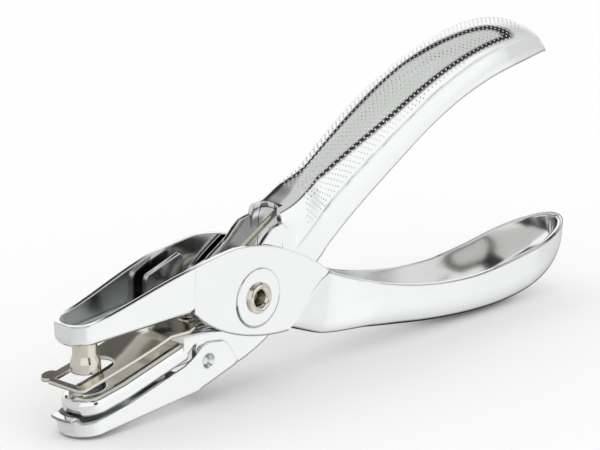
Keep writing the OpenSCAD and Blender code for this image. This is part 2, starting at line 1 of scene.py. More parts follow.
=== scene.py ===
# %% [markdown]
# # Single hole punch
# A plier type hole punch, pressed from sheet steel and plated bright chrome, with a punch, a stripper,
# rivets and a spring in nickel. The CAD model gives every piece its true place and size. This lesson
# gives the pieces smooth skins and real finishes, and lights them like a product photo.

# %% Load the CAD frame
import math

import bmesh
import bpy
from mathutils import Matrix, Vector


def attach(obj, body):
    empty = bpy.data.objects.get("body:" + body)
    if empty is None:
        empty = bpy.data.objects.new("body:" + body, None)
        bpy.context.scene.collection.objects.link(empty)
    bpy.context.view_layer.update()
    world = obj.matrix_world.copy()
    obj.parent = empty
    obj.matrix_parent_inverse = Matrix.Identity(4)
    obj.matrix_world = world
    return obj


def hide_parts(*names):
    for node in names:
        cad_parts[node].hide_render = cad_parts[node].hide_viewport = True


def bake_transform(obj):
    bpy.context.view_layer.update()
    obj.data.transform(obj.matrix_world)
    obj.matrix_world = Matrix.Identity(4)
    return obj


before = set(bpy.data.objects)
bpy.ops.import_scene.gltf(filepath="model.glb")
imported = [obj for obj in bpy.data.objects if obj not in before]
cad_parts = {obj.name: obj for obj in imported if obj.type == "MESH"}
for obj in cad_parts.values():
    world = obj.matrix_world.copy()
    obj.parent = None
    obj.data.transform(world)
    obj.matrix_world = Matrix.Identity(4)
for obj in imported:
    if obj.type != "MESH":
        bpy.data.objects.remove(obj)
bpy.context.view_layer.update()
scene = bpy.context.scene
scene.view_settings.view_transform = "Standard"
MM = 0.001

# %% [markdown]
# The punch is drawn round the axis of its rivet, with the nose to the left, and stands slightly tipped
# on its tray and on the belly of the lower handle. One function takes a point of that drawing to its
# place in the scene, so that every piece below can be written in plain millimetres from the rivet.

# %% From the drawing to the scene
RIVET = Vector((-25.9081, 0, 18.85))
STANCE = math.radians(0.9)


def place(x, y, z):
    c, s = math.cos(STANCE), math.sin(STANCE)
    return (RIVET + Vector((x * c + z * s, y, z * c - x * s))) * MM


print("100 mm behind the rivet, in mm:", [round(v / MM, 1) for v in place(100, 0, 0)])

# %% [markdown]
# The camera looks down on the nose from the near side, about 16 degrees above the horizon. A long
# lens from 0.7 m keeps the two handles close to their true proportions, as in a catalogue picture.

# %% Camera
AZIMUTH, ELEVATION, ROLL = (math.radians(a) for a in (-46.12, 16.45, 0.452))
DISTANCE, LENS, CLIP_START = 0.7, 218.4, 0.05
NEAR_EAR_Y, SHIFT_RIGHT, SHIFT_UP = -6.7, 8.08, 13.96
back = Vector((math.sin(AZIMUTH) * math.cos(ELEVATION), -math.cos(AZIMUTH) * math.cos(ELEVATION),
               math.sin(ELEVATION)))
level = Vector((math.cos(AZIMUTH), math.sin(AZIMUTH), 0))
right = level * math.cos(ROLL) + back.cross(level) * math.sin(ROLL)
up = back.cross(right)
target = place(0, NEAR_EAR_Y, 0) + (SHIFT_RIGHT * right + SHIFT_UP * up) * MM
camera = bpy.data.objects.new("camera", bpy.data.cameras.new("camera"))
scene.collection.objects.link(camera)
camera.matrix_world = Matrix((right, up, back)).transposed().to_4x4()
camera.location = target + back * DISTANCE
camera.data.lens = LENS
camera.data.clip_start = CLIP_START
scene.camera = camera
print("camera at", [round(v, 3) for v in camera.location])

# %% [markdown]
# Every colour below is written as the hex value that a picture editor shows. Blender's shaders want
# linear light, so one function converts them, and a second one adds a shader node with its settings
# and its links in one line.

# %% Colour and node helpers
def linear(hex_colour):
    channels = [int(hex_colour[i:i + 2], 16) / 255 for i in (1, 3, 5)]
    return [c / 12.92 if c <= 0.04045 else ((c + 0.055) / 1.055) ** 2.4 for c in channels] + [1]


def add(tree, kind, settings=(), links=()):
    node = tree.nodes.new(kind)
    for name, value in dict(settings).items():
        if isinstance(name, int) or name in node.inputs:
            node.inputs[name].default_value = value
        else:
            setattr(node, name, value)
    for name, socket in dict(links).items():
        tree.links.new(socket, node.inputs[name])
    return node


def new_material(name):
    made = bpy.data.materials.new(name)
    made.use_nodes = True
    return made, made.node_tree, made.node_tree.nodes["Principled BSDF"]


print("hex 80 in linear light:", round(linear("#808080")[0], 3))

# %% [markdown]
# The punch stands on a matte white board, lit evenly from all round, so the board renders white and
# keeps a soft shadow. Mirrors see past the board to the tent below, where its light is set.

# %% White board
BOARD_SIZE, BOARD_DROP = 4, 0.3 * MM
board, tree, shader = new_material("matte white board")
shader.inputs["Base Color"].default_value = linear("#ffffff")
shader.inputs["Roughness"].default_value = 0.9
shader.inputs["Specular IOR Level"].default_value = 0.1
bpy.ops.mesh.primitive_plane_add(size=BOARD_SIZE, location=(0, 0, -BOARD_DROP))
floor = bpy.context.object
floor.name = "floor"
floor.data.materials.append(board)
floor.visible_glossy = False
print("board of", BOARD_SIZE, "m")

# %% [markdown]
# Chrome shows nothing but its surroundings, so the studio is the look. The tent is white where its two
# lamps shine through it, in front of the punch and behind its handles, and greyer between them. Each
# row of grey values goes once round the tent in degrees. The rows lie one above the other: the table
# top below the punch, greyer away from the camera with the punch's shadow painted in, the table's edge
# with a dark stretch of painted shade on the far side, the foot of the wall, and all that is above.

# %% Tent
TABLE = ((-180, "d8"), (-110, "e8"), (-50, "fa"), (-20, "e8"), (40, "d0"), (180, "d0"))
TABLE_EDGE = ((-180, "d4"), (-110, "e8"), (-50, "ff"), (-20, "ea"), (14, "c8"), (26, "28"), (44, "28"),
              (58, "c8"), (180, "cc"))
WALL_FOOT = ((-180, "d4"), (-110, "d8"), (-98, "ff"), (-60, "fb"), (-42, "f8"), (-33, "e6"), (10, "da"),
             (30, "c4"), (78, "d0"), (100, "d4"), (180, "d4"))
WALL = ((-180, "d4"), (-165, "ff"), (-50, "ff"), (-42, "dc"), (10, "d6"), (34, "ff"), (78, "ff"),
        (100, "d4"), (180, "d4"))
ROWS = (TABLE, TABLE_EDGE, WALL_FOOT, WALL)
# The heights between which one row turns into the next, as the upward part of a direction.
TURNS_TO_NEXT = ((-0.8, -0.65), (-0.45, -0.3), (-0.16, -0.02))
tent = bpy.data.worlds.new("white tent")
scene.world = tent
tent.use_nodes = True
tree = tent.node_tree
axes = add(tree, "ShaderNodeSeparateXYZ", {},
           {"Vector": add(tree, "ShaderNodeTexCoord").outputs["Generated"]}).outputs
turn = add(tree, "ShaderNodeMath", {"operation": "ARCTAN2"}, {0: axes["Y"], 1: axes["X"]})
share = add(tree, "ShaderNodeMapRange", {"From Min": -math.pi, "From Max": math.pi},
            {"Value": turn.outputs["Value"]})
rings = []
for row in ROWS:
    ramp = add(tree, "ShaderNodeValToRGB", {}, {"Fac": share.outputs["Result"]})
    stops = ramp.color_ramp.elements
    while len(stops) < len(row):
        stops.new(0.5)
    for stop, (degrees, grey) in zip(stops, row):
        stop.position = (degrees + 180) / 360
        stop.color = linear("#" + 3 * grey)
    rings.append(ramp.outputs["Color"])
wall = rings[0]
for ring, (start, end) in zip(rings[1:], TURNS_TO_NEXT):
    rise = add(tree, "ShaderNodeMapRange", {"From Min": start, "From Max": end}, {"Value": axes["Z"]})
    blend = add(tree, "ShaderNodeMix", {"data_type": "RGBA"}, {"Factor": rise.outputs["Result"]})
    tree.links.new(wall, blend.inputs["A"])
    tree.links.new(ring, blend.inputs["B"])
    wall = blend.outputs["Result"]
print("tent with", sum(map(len, ROWS)), "grey values")

# %% [markdown]
# The picture's background is plain white, and so is the light that falls on the board. Only a mirror
# looks at the tent, which the kind of light ray tells.

# %% White background
ray = add(tree, "ShaderNodeLightPath").outputs
mirror = add(tree, "ShaderNodeMath", {"operation": "MAXIMUM"},
             {0: ray["Is Glossy Ray"], 1: ray["Is Transmission Ray"]})
seen = add(tree, "ShaderNodeMix", {"data_type": "RGBA"}, {"Factor": mirror.outputs["Value"]})
seen.inputs["A"].default_value = linear("#ffffff")
tree.links.new(wall, seen.inputs["B"])
tree.links.new(seen.outputs["Result"], tree.nodes["Background"].inputs["Color"])
print("world nodes:", len(tree.nodes))

# %% [markdown]
# A grey scrim in a dark frame hangs above: the scrim gives the grip its soft grey, and the frame draws
# the dark line along each side of it. A black card beside the camera and one behind give the bends of
# the nose and of the handles a dark edge. Each card is a set of rings with a colour and a cover at
# every corner, so its rim can fade. The cards are for the mirror only, so they neither show nor cast
# a shadow.

# %% Cards
def card(name, middle, across, along, half, rings):
    corners, glow, faces = [], [], []
    for out, hex_colour, cover in rings:
        for i, j in ((-1, -1), (1, -1), (1, 1), (-1, 1)):
            corners.append(Vector(middle) + Vector(across) * i * (half[0] + out)
                           + Vector(along) * j * (half[1] + out))
            glow += linear(hex_colour)[:3] + [cover]
    for r in range(len(rings) - 1):
        for k in range(4):
            here, after = 4 * r + k, 4 * r + (k + 1) % 4
            faces.append((here, after, after + 4, here + 4))
    mesh = bpy.data.meshes.new(name)
    mesh.from_pydata(corners, [], faces + [(0, 1, 2, 3)])
    mesh.color_attributes.new("glow", "FLOAT_COLOR", "POINT").data.foreach_set("color", glow)
    paper, tree, shader = new_material(name)
    paint = add(tree, "ShaderNodeVertexColor", {"layer_name": "glow"})
    shader.inputs["Base Color"].default_value = linear("#000000")
    shader.inputs["Specular IOR Level"].default_value = 0
    shader.inputs["Emission Strength"].default_value = 1
    tree.links.new(paint.outputs["Color"], shader.inputs["Emission Color"])
    tree.links.new(paint.outputs["Alpha"], shader.inputs["Alpha"])
    mesh.materials.append(paper)
    sheet = bpy.data.objects.new(name, mesh)
    scene.collection.objects.link(sheet)
    sheet.visible_camera = sheet.visible_diffuse = sheet.visible_shadow = False
    print(name, "at", [round(v, 2) for v in middle])


SCRIM_TURN, SCRIM_HALF = math.radians(16), (0.67, 0.77)
SCRIM_ACROSS, SCRIM_ALONG, SCRIM_UP = 0.18, 0.06, Vector((0, 0, 1))
SCRIM_RINGS = ((-0.08, "#cfd0ce", 1), (0.02, "#303030", 1), (0.24, "#303030", 1), (0.5, "#707070", 0))
BLACK_CARDS = (("front", -105, 0.26, (0.1, 0.26)), ("rear", 97, 0.62, (0.14, 0.3)))
BLACK_RINGS = ((0, "#101010", 1), (0.08, "#101010", 0))
across = Vector((math.cos(SCRIM_TURN), math.sin(SCRIM_TURN), 0))
along = Vector((-math.sin(SCRIM_TURN), math.cos(SCRIM_TURN), 0))
card("grey_scrim", across * SCRIM_ACROSS + along * SCRIM_ALONG + SCRIM_UP, across, along, SCRIM_HALF,
     SCRIM_RINGS)
for name, degrees, height, half in BLACK_CARDS:
    side = math.radians(degrees)
    card("black_card_" + name, (math.cos(side), math.sin(side), height),
         (-math.sin(side), math.cos(side), 0), (0, 0, 1), half, BLACK_RINGS)

# %% [markdown]
# Shade is painted into the plate's colour: the inside of a folded piece is darker. Narrow gaps, and
# the edges that turn down to the table, get a darker painted shade still. Ambient occlusion finds the
# hollows and the gaps. A bevel over a wide radius finds the edges: there its normal parts from the true
# one.

# %% Where shade is painted into the plate
# Reach and ranges of the painted shade in hollows, in narrow gaps and on edges that turn down.
HOLLOW_SHADE_MM, GAP_SHADE_MM = 14, 3
HOLLOW_SHADE_RANGE, GAP_SHADE_RANGE, EDGE_SHADE_RANGE = (0.2, 0.9), (0.03, 0.3), (-0.08, -0.015)


def painted_shade_masks(tree, edge_mm):
    room = add(tree, "ShaderNodeAmbientOcclusion",
               {"samples": 16, "only_local": True, "Distance": HOLLOW_SHADE_MM * MM})
    gap = add(tree, "ShaderNodeAmbientOcclusion", {"samples": 8, "Distance": GAP_SHADE_MM * MM})
    fold = add(tree, "ShaderNodeBevel", {"samples": 6, "Radius": 2 * edge_mm * MM})
    ways = fold.outputs["Normal"], add(tree, "ShaderNodeNewGeometry").outputs["Normal"]
    rise = [add(tree, "ShaderNodeSeparateXYZ", {}, {"Vector": way}).outputs["Z"] for way in ways]
    alike = add(tree, "ShaderNodeVectorMath", {"operation": "DOT_PRODUCT"}, {0: ways[0], 1: ways[1]})
    bend = add(tree, "ShaderNodeMath", {"operation": "SUBTRACT", 1: 1}, {0: alike.outputs["Value"]})
    lean = add(tree, "ShaderNodeMath", {"operation": "MINIMUM"}, {0: rise[0], 1: rise[1]})
    turned = add(tree, "ShaderNodeMath", {"operation": "MAXIMUM"},
                 {0: bend.outputs["Value"], 1: lean.outputs["Value"]})
    found = ((room.outputs["AO"], HOLLOW_SHADE_RANGE), (gap.outputs["AO"], GAP_SHADE_RANGE),
             (turned.outputs["Value"], EDGE_SHADE_RANGE))
    return [add(tree, "ShaderNodeMapRange", {"From Min": dark, "From Max": bright},
                {"Value": value}).outputs["Result"] for value, (dark, bright) in found]


print("hollows within", HOLLOW_SHADE_MM, "mm and gaps within", GAP_SHADE_MM, "mm turn dark")

# %% [markdown]
# The levers and the tray are deep drawn steel with a decorative chrome plate over nickel. Chrome is a
# bright, faintly cool mirror. Pressing and polishing leave the surface very slightly wavy over a
# millimetre or two, and a fine haze in places, which noise in the roughness and a weak bump give. The
# lower handle is an open trough, so its painted shade inside is kept light. The dots on the grip are
# too small to be wavy or to have edges of their own.

# %% Chrome plate
# The first colour is the dark grey of the painted shade in narrow gaps and on edges that turn down.
EDGE_AND_GAP_SHADE, HAZE_MM, SATIN = "#484848", 6, 0.2
CHROME = {"light": "#fafbfb", "dark": "#f6f7f7", "smooth_to": 0.04, "hazy_to": 0.09, "wave_mm": 2}


def plated(name, light, dark, hollow_shade, smooth_to, hazy_to, wave_mm, wave_um, edge_mm):
    made, tree, shader = new_material(name)
    spot = add(tree, "ShaderNodeTexCoord").outputs["Object"]
    haze = add(tree, "ShaderNodeTexNoise", {"Scale": 1 / (HAZE_MM * MM), "Detail": 3}, {"Vector": spot})
    tint = add(tree, "ShaderNodeMix", {"data_type": "RGBA"}, {"Factor": haze.outputs["Fac"]})
    tint.inputs["A"].default_value, tint.inputs["B"].default_value = linear(light), linear(dark)
    plate, bright = tint.outputs["Result"], painted_shade_masks(tree, edge_mm)
    # Painted shade: darker inside folded pieces, darker still in narrow gaps and on edges that turn down.
    for hex_colour, where in zip((hollow_shade, EDGE_AND_GAP_SHADE, EDGE_AND_GAP_SHADE), bright):
        layer = add(tree, "ShaderNodeMix", {"data_type": "RGBA"}, {"Factor": where})
        layer.inputs["A"].default_value = linear(hex_colour)
        tree.links.new(plate, layer.inputs["B"])
        plate = layer.outputs["Result"]
    gloss = add(tree, "ShaderNodeMapRange", {"To Min": smooth_to, "To Max": hazy_to},
                {"Value": haze.outputs["Fac"]})
    satin = add(tree, "ShaderNodeMapRange", {"To Min": SATIN},
                {"Value": bright[0], "To Max": gloss.outputs["Result"]})
    wave = add(tree, "ShaderNodeTexNoise", {"Scale": 1 / (wave_mm * MM), "Detail": 1}, {"Vector": spot})
    edge = add(tree, "ShaderNodeBevel", {"samples": 6, "Radius": edge_mm * MM})
    bump = add(tree, "ShaderNodeBump", {"Distance": wave_um * 1e-6, "Strength": 1},
               {"Height": wave.outputs["Fac"], "Normal": edge.outputs["Normal"]})
    shader.inputs["Metallic"].default_value = 1
    for into, socket in (("Base Color", plate), ("Roughness", satin.outputs["Result"]),
                         ("Normal", bump.outputs["Normal"])):
        tree.links.new(socket, shader.inputs[into])
    return made


# Each finish has its own painted shade colour for the inside of folded pieces; the trough's is light.
chrome = plated("bright chrome plate on pressed steel", hollow_shade="#b2b4b4", wave_um=2, edge_mm=0.4, **CHROME)
trough = plated("bright chrome plate with light painted shade in a trough", hollow_shade="#ececea", wave_um=2, edge_mm=0.4, **CHROME)
domes = plated("bright chrome plate on small domes", hollow_shade="#b2b4b4", wave_um=0, edge_mm=0, **CHROME)
print("chrome:", [made.name for made in (chrome, trough, domes)])

# %% [markdown]
# The punch, the stripper, the rivets and the spring are nickel: a warmer, yellowish metal, less bright
# than chrome, with a satin surface from tumbling.

# %% Nickel plate
# Its painted shade inside folded pieces is a darker warm grey.
nickel = plated("tumbled nickel plate on spring steel", "#e9e5da", "#dfd9cb", hollow_shade="#b8b2a4",
                smooth_to=0.12, hazy_to=0.2, wave_mm=0.8, wave_um=2, edge_mm=0.2)
print("nickel:", nickel.name)

# %% [markdown]
# The CAD pieces arrive as loose flat triangles, which a mirror finish would show one by one. A copy of
# each is merged, and every corner gets a normal that is averaged over the flat faces round it, each
# weighted by its whole area. Large flats then stay perfectly flat and the bends between them turn
# smoothly, while folds sharper than 35 degrees stay sharp.

# %% Normals for flats and bends
FLAT, FOLD = math.radians(0.3), math.radians(35)


def flat_regions(bm):
    parent = list(range(len(bm.faces)))

    def root(i):
        while parent[i] != i:
            parent[i] = parent[parent[i]]
            i = parent[i]
        return i

    for edge in bm.edges:
        if len(edge.link_faces) == 2:
            one, two = edge.link_faces
            if one.normal.dot(two.normal) > math.cos(FLAT):
                parent[root(one.index)] = root(two.index)
    area = {}
    for face in bm.faces:
        area[root(face.index)] = area.get(root(face.index), 0) + face.calc_area()
    return [root(i) for i in range(len(parent))], area


def corner_normals(bm):
    region, area = flat_regions(bm)
    normals = []
    for face in bm.faces:
        for loop in face.loops:
            near = {region[f.index]: f.normal for f in loop.vert.link_faces
                    if f.normal.dot(face.normal) > math.cos(FOLD)}
            total = sum((normal * area[key] for key, normal in near.items()), Vector())
            normals.append((total if total.length > 0 else face.normal).normalized())
    return normals


print("faces within", round(math.degrees(FLAT), 1), "degrees count as one flat")

# %% [markdown]
# The two levers are cut where their handles begin, because the handles are made anew below. The punch
# lever is cut a little in front of its crease, where the start of the new handle is tucked behind the
# ears. Every piece rides on the body that carries it on the real punch.

# %% Smooth skins for the pressed and rolled pieces
MERGE_GAP, CUT_GAP = 0.001 * MM, 0.0001 * MM
CREASE_FOOT, CREASE_TOP, CREASE_TUCK = (9, -8.5), (20, 1.4), 0.2
UPPER_CUT = 10.4


def piece_from(bm, name):
    mesh = bpy.data.meshes.new(name)
    bm.to_mesh(mesh)
    bm.free()
    piece = bpy.data.objects.new(name, mesh)
    scene.collection.objects.link(piece)
    return piece


def settle(piece, material, body, slot, *nodes):
    piece.data.materials.clear()
    piece.data.materials.append(material)
    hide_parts(*nodes)
    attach(piece, body)
    print(piece.name, len(piece.data.polygons), "faces")


def skin(node, name, cut=None):
    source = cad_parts[node]
    bm = bmesh.new()
    bm.from_mesh(source.data)
    bm.transform(source.matrix_world)
    bmesh.ops.remove_doubles(bm, verts=bm.verts, dist=MERGE_GAP)
    bmesh.ops.dissolve_degenerate(bm, edges=bm.edges, dist=MERGE_GAP)
    if cut:
        bmesh.ops.bisect_plane(bm, geom=[*bm.verts, *bm.edges, *bm.faces], dist=CUT_GAP,
                               plane_co=cut[0], plane_no=cut[1], clear_outer=True)
    bm.normal_update()
    bm.faces.index_update()
    normals = corner_normals(bm)
    piece = piece_from(bm, name)
    piece.data.polygons.foreach_set("use_smooth", [True] * len(piece.data.polygons))
    piece.data.normals_split_custom_set(normals)
    return piece


foot, top = (place(x, 0, z) for x, z in (CREASE_FOOT, CREASE_TOP))
crease_out = Vector((0, 1, 0)).cross(top - foot).normalized()
punch_cut = foot - crease_out * CREASE_TUCK * MM, crease_out
die_cut = place(UPPER_CUT, 0, 0), place(1, 0, 0) - place(0, 0, 0)
settle(skin("punch_lever", "jaw_and_ears", punch_cut), chrome, "punch_lever", "chrome", "punch_lever")
settle(skin("die_lever", "die_and_walls", die_cut), chrome, "die_lever", "chrome", "die_lever")
settle(skin("chip_tray", "tray_pan"), chrome, "chip_tray", "chrome", "chip_tray")
settle(skin("pivot_rivet", "rolled_rivet"), nickel, "punch_lever", "nickel", "pivot_rivet")
settle(skin("stripper", "stripper_leaf"), nickel, "die_lever", "nickel", "stripper")
settle(skin("stripper_rivet", "eyelet"), nickel, "die_lever", "nickel", "stripper_rivet")

# %% [markdown]
# The punch is turned on a lathe: a cutting edge of 5.8 mm, a waist above it so that chips fall free, and
# a tenon that is riveted over inside the jaw. A profile spun round the punch's own axis gives it a true
# round surface, with the sharp corners kept sharp.

# %% Turned punch
TURNS = 96
PUNCH_FOOT, PUNCH_TILT = Vector((-38.753, 0, -7.632)), math.radians(-4.2)
# Height above the cutting edge and radius, from the edge up to the riveted end.
PROFILE = ((0, 0.02), (0, 2.9), (1.5, 2.9), (1.97, 2.863), (2.31, 2.77), (2.6, 2.65), (2.88, 2.53),
           (3.23, 2.437), (3.7, 2.4), (6.1, 2.4), (6.1, 1.9), (7.2, 1.9), (7.2, 2.5), (7.74, 2.2),
           (8.1, 1.6), (8.1, 0.02))


def strip(bm, rows, closed=False):
    for one, two in zip(rows, rows[1:]):
        for k in range(len(one) if closed else len(one) - 1):
            after = (k + 1) % len(one)
            bm.faces.new((one[k], one[after], two[after], two[k])).smooth = True


def tube(bm, rings):
    strip(bm, rings, closed=True)
    for ring in (rings[0], rings[-1]):
        bm.faces.new(ring)
    bmesh.ops.recalc_face_normals(bm, faces=bm.faces)


axis, side = (Vector((math.sin(PUNCH_TILT + q), 0, math.cos(PUNCH_TILT + q))) for q in (0, math.pi / 2))
bm = bmesh.new()
spin = [math.tau * k / TURNS for k in range(TURNS)]
spokes = [side * math.cos(a) + Vector((0, math.sin(a), 0)) for a in spin]
tube(bm, [[bm.verts.new(place(*(PUNCH_FOOT + axis * h + r * spoke))) for spoke in spokes]
          for h, r in PROFILE])
for edge in bm.edges:
    edge.smooth = edge.calc_face_angle() < FOLD
settle(piece_from(bm, "turned_punch"), nickel, "punch_lever", "nickel", "punch_pin")

# %% [markdown]
# Both handles are arches of sheet that change along their length: the lower one is an open trough, the
# upper one a vault with a raised grip. A section is a superellipse, round in the palm and squarer near
# the rivet, and its points are spread evenly along its length, so that reflections run over it without
# ripples.

# %% Sections of the handles
SHEET = 1.1


def smooth(t):
    u = min(max(t, 0), 1)
    return u * u * (3 - 2 * u)


def lever(end, far, x):
    return max(0, (end - x) / (end - far))


def tip_round(x, start, tip):
    return math.sqrt(max(0, 1 - max(0, (x - start) / (tip - start)) ** 2))


def arch(half, edge, crown, box, swell=None, points=128, fine=600):
    line = []
    for k in range(fine + 1):
        a = math.pi * k / fine
        rise = max(math.sin(a), 0) ** (2 / box)
        out = swell(edge + (crown - edge) * rise) if swell else 0
        side = math.copysign(abs(math.cos(a)) ** (2 / box), -math.cos(a))
        line.append(((half + out) * side, edge + (crown - edge) * rise + out * rise))
    along = [0]
    for a, b in zip(line, line[1:]):
        along.append(along[-1] + math.dist(a, b))
    even, i = [], 0
    for k in range(points + 1):
        want = along[-1] * k / points
        while i < fine - 1 and along[i + 1] < want:
            i += 1
        t = (want - along[i]) / max(along[i + 1] - along[i], 1e-9)
        even.append(tuple(p + (q - p) * t for p, q in zip(line[i], line[i + 1])))
    return even


print("points in a section:", len(arch(half=7, edge=0, crown=7, box=2)))

# %% [markdown]
# Each handle is a loft through many sections, closer together at the tip. The sheet has an outer and an
# inner wall, joined by a lip that is rounded like a deburred edge where the rim is free.

# %% Loft of a sheet
FREE_RIM_FROM, LIP_ROUND, LIP_HIDDEN = 20, 0.3, 0.01
LOFT_FOLD = math.radians(40)


def stations(start, turn, tip, steps=110, tip_steps=36, tip_angle=85):
    return ([start + (turn - start) * i / steps for i in range(steps)]
            + [turn + (tip - turn) * math.sin(math.radians(tip_angle * j / tip_steps))
               for j in range(tip_steps + 1)])


def lip(bm, outer, inner, k, free, steps=4):
    a, b = outer[k].co.copy(), inner[k].co.copy()
    down = (a - outer[1 if k == 0 else -2].co).normalized()
    deep = (LIP_ROUND if free else LIP_HIDDEN) * MM * min(1, (a - b).length / MM)
    middle, reach = (a + b) / 2, (a - b) / 2
    outer[k].co -= down * deep
    inner[k].co -= down * deep
    rounded = [bm.verts.new(middle - down * deep + reach * math.cos(t) + down * deep * math.sin(t))
               for t in (math.pi * i / steps for i in range(1, steps))]
    return [outer[k], *rounded, inner[k]]


def loft(name, outer, inner):
    bm = bmesh.new()
    walls = [[[bm.verts.new(place(x, y, z)) for y, z in section] for x, section in wall]
             for wall in (outer, inner)]
    for wall in walls:
        strip(bm, wall)
        bm.faces.new(wall[-1])
    lips = [[lip(bm, *(wall[i] for wall in walls), k, outer[i][0] > FREE_RIM_FROM)
             for i in range(len(outer))] for k in (0, -1)]
    for line in lips:
        strip(bm, line)
    strip(bm, list(zip(*(line[-1] for line in lips))))
    bmesh.ops.recalc_face_normals(bm, faces=bm.faces)
    for edge in bm.edges:
        edge.smooth = len(edge.link_faces) == 2 and edge.calc_face_angle() < LOFT_FOLD
    for face in bm.faces:
        face.smooth = True
    return piece_from(bm, name)


print("sections in a handle:", len(stations(0, 80, 100)))

# %% [markdown]
# The lower handle grows out of the ears at a slanting crease. Its rim dips in the middle, where the
# fingers lie, and its belly touches the table before it turns up to the round tip.

# %% Lower handle
LOWER_FROM, LOWER_SEEN, LOWER_LEN, LOWER_ROUND, DIP, BELLY_X = 11, 9.5, 96.6, 81.4, 63, 69
LOWER_RIM, LOWER_TIP, EAR_HALF, HANDLE_HALF, PROUD, DENT = 7.9, 2.5, 6.7, 7.7, -0.01, 0.13
BELLY = (RIVET.z - BELLY_X * math.sin(STANCE)) / math.cos(STANCE) - 0.02
BELLY_FROM = CREASE_FOOT[1] - 0.25
BELLY_CURVE, TIP_CURVE, RIM_CURVE, LOWER_FLARE = 1.75, 2.3, 1.6, 52
RIM_TUCK, FACET_TO, FACET_FADE = 3, CREASE_TOP[0] + 0.5, 14
EAR_BOX, BOX_LOSS, BOX_OVER = 6, 3.2, 36


def lower_edge(x):
    if x < CREASE_TOP[0]:
        slope = (CREASE_TOP[1] - CREASE_FOOT[1]) / (CREASE_TOP[0] - CREASE_FOOT[0])
        tuck = 1 - smooth((x - CREASE_TOP[0] + RIM_TUCK) / RIM_TUCK)
        return CREASE_FOOT[1] + (x - CREASE_FOOT[0]) * slope + tuck
    if x < DIP:
        return (CREASE_TOP[1] + LOWER_RIM) * lever(DIP, CREASE_TOP[0], x) ** 2 - LOWER_RIM
    return (LOWER_RIM - LOWER_TIP) * lever(DIP, LOWER_LEN, x) ** RIM_CURVE - LOWER_RIM


def lower_floor(x):
    if x < BELLY_X:
        return (BELLY + BELLY_FROM) * lever(BELLY_X, LOWER_FROM, x) ** BELLY_CURVE - BELLY
    t = min(1, (x - BELLY_X) / (LOWER_LEN - BELLY_X))
    return -LOWER_TIP - 1 - (BELLY - LOWER_TIP - 1) * (1 - t ** TIP_CURVE) ** (1 / TIP_CURVE)


def lower_half(x):
    grow = smooth((x - LOWER_FROM) / LOWER_FLARE)
    return ((EAR_HALF + PROUD + (HANDLE_HALF - EAR_HALF - PROUD) * grow)
            * tip_round(x, LOWER_ROUND, LOWER_LEN))


def lower_box(x):
    return EAR_BOX - BOX_LOSS * smooth((x - LOWER_FROM) / BOX_OVER)


def past_crease(x, z):
    (x0, z0), (x1, z1) = CREASE_FOOT, CREASE_TOP
    return ((x - x0) * (z1 - z0) - (z - z0) * (x1 - x0)) / math.dist(CREASE_FOOT, CREASE_TOP)


def crease_dent(x, z):
    past = past_crease(min(x, FACET_TO), z)
    return -DENT * max(past, 0) * (1 - smooth((x - FACET_TO) / FACET_FADE))


outer = [(x, arch(lower_half(x), lower_edge(x), lower_floor(x), lower_box(x), lambda z: crease_dent(x, z)))
         for x in stations(LOWER_SEEN, LOWER_ROUND, LOWER_LEN)]
inner = [(x, arch(lower_half(x + SHEET / 2) - SHEET, lower_edge(x),
                  min(lower_floor(x) + SHEET, lower_edge(x) - 0.05), lower_box(x)))
         for x in stations(LOWER_SEEN, LOWER_ROUND - SHEET / 2, LOWER_LEN - SHEET)]
settle(loft("lower_handle", outer, inner), trough, "punch_lever", "chrome", "punch_lever")

# %% [markdown]
# The upper handle is a vault that rises to the palm and turns down at a blunt tip. Its crown carries a
# raised grip with a crease along each side, below which the sheet runs straight down to the edge.

# %% Upper handle
UPPER_LEN, UPPER_ROUND, PEAK_X, PEAK_Z, FRONT_X, FRONT_Z = 89.2, 70.2, 71, 43.1, 10, 13.6
EDGE_X, EDGE_Z, EDGE_FROM, TIP_DROP, DIE_HALF = 82.7, 35.2, -5, 8.2, 4.9
CROWN_CURVE, CROWN_TIP_CURVE, HUMP, HUMP_TO, EDGE_HOOK = 1.6, 2.5, 2, 18, 1.4
FLARE_FROM, FLARE_OVER, DIE_BOX, VAULT_LOSS, VAULT_FROM, VAULT_OVER = 12, 30, 8, 5.7, 8, 13
GRIP_FROM, GRIP_H, GRIP_RISE, GRIP_FADE, CREASE_W = 10.4, 0.6, 5, 10, 0.55
# How far the crown lies below its curve, where that begins, and over what length: front and palm.
SUNK_FRONT, SUNK_PALM = (0.27, 14, 6), (0.4, 40, 28)


def eased(x, amount, start, over):
    return amount * smooth((x - start) / over)


def upper_crown(x):
    if x < PEAK_X:
        return (PEAK_Z - (PEAK_Z - FRONT_Z) * lever(PEAK_X, FRONT_X, x) ** CROWN_CURVE
                + HUMP * lever(HUMP_TO, FRONT_X, x) ** 2)
    return PEAK_Z - TIP_DROP * lever(PEAK_X, UPPER_LEN, x) ** CROWN_TIP_CURVE


def upper_edge(x):
    if x < EDGE_X:
        return EDGE_Z - (EDGE_Z - EDGE_FROM) * lever(EDGE_X, FRONT_X, x) ** 2
    return EDGE_Z - EDGE_HOOK * lever(EDGE_X, UPPER_LEN, x) ** 2


def upper_half(x):
    grow = smooth((x - FLARE_FROM) / FLARE_OVER)
    return ((DIE_HALF + PROUD + (HANDLE_HALF - DIE_HALF - PROUD) * grow)
            * tip_round(x, UPPER_ROUND, UPPER_LEN))


def upper_box(x):
    return DIE_BOX - eased(x, VAULT_LOSS, VAULT_FROM, VAULT_OVER)


def mid_height(x):
    return (upper_edge(x) + upper_crown(x)) / 2


